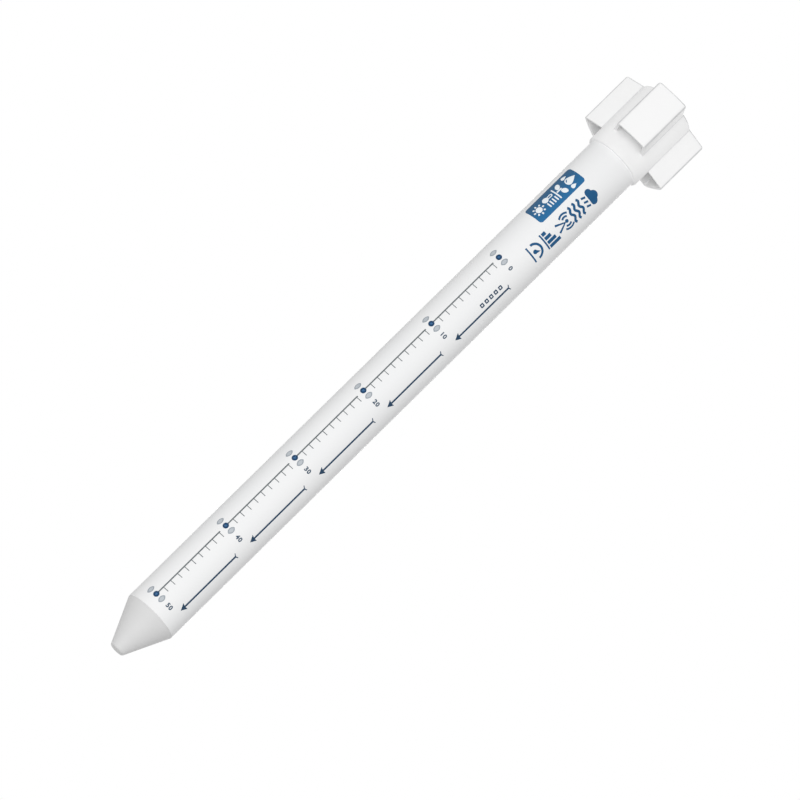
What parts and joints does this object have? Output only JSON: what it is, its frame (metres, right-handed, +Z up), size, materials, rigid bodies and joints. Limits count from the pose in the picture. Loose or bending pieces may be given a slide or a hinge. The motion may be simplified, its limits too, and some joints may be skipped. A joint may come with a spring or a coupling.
{
  "type": "soil moisture probe",
  "caption": "Tubular soil moisture probe: a sealed white tube with a cone point, ring sensors inside at stepped depths, and a lift-off three-lobed cap over the battery and radio.",
  "frame": {"origin": "on the tube's axis at the printed ground mark", "axes": "+Z up the tube towards the cap, -Y is the printed front"},
  "size_m": [0.1088, 0.0963, 0.812],
  "materials": {
    "tube_pvc": "extruded white PVC, satin gloss",
    "cap_asa": "moulded white weatherproof plastic, satin",
    "point_nylon": "turned light grey nylon, matt",
    "seal_rubber": "black EPDM",
    "bulkhead_plastic": "moulded grey plastic",
    "carrier_plastic": "moulded black plastic",
    "cell_sleeve": "shrink sleeve",
    "contact_metal": "nickel-plated spring strip",
    "lead_insulation": "insulated lead",
    "board_laminate": "green solder mask",
    "shield_can": "tin-plated steel",
    "card_plastic": "plain card",
    "connector_plastic": "natural nylon",
    "ribbon_pvc": "grey ribbon",
    "switch_plastic": "black switch body",
    "button_plastic": "red button",
    "probe_brass": "turned brass",
    "bobbin_plastic": "natural plastic former",
    "ring_copper": "copper strip",
    "screw_steel": "stainless steel"
  },
  "bodies": {
    "probe": {"outer_tube": "tube_pvc", "cone_tip": "point_nylon", "tip_seals": "seal_rubber", "cap_seal": "seal_rubber", "bulkhead": "bulkhead_plastic", "bulkhead_seal": "seal_rubber", "plate_screws": "screw_steel", "battery_carrier": "carrier_plastic", "battery_cells": "cell_sleeve", "battery_contacts": "contact_metal", "battery_leads": "lead_insulation", "main_board": "board_laminate", "board_screws": "screw_steel", "wire_terminals": "connector_plastic", "radio_module": "shield_can", "cellular_antenna": "board_laminate", "sim_holder": "shield_can", "main_header": "connector_plastic", "spine_header": "connector_plastic", "ribbon_cable": "ribbon_pvc", "power_switch": "switch_plastic", "spine_board": "board_laminate", "sensor_screws": "screw_steel", "temperature_probes": "probe_brass", "sensor_bobbin_1": "bobbin_plastic", "sensor_bobbin_2": "bobbin_plastic", "sensor_bobbin_3": "bobbin_plastic", "sensor_bobbin_4": "bobbin_plastic", "sensor_bobbin_5": "bobbin_plastic", "electrode_rings_1": "ring_copper", "electrode_rings_2": "ring_copper", "electrode_rings_3": "ring_copper", "electrode_rings_4": "ring_copper", "electrode_rings_5": "ring_copper", "sensor_board_1": "board_laminate", "sensor_board_2": "board_laminate", "sensor_board_3": "board_laminate", "sensor_board_4": "board_laminate", "sensor_board_5": "board_laminate"},
    "cap": {"head_cap": "cap_asa"},
    "button": {"power_button": "button_plastic"},
    "card": {"sim_card": "card_plastic"}
  },
  "joints": [
    {"name": "cap_lift", "type": "slide", "parent": "probe", "child": "cap", "axis": [0, 0, 1], "range_m": [0, 0.09]},
    {"name": "button_press", "type": "slide", "parent": "probe", "child": "button", "axis": [0, 1, 0], "range_m": [0, 0.0012], "stiffness_N_per_m": 800},
    {"name": "card_slide", "type": "slide", "parent": "probe", "child": "card", "axis": [0, 0, 1], "range_m": [0, 0.015]}
  ]
}
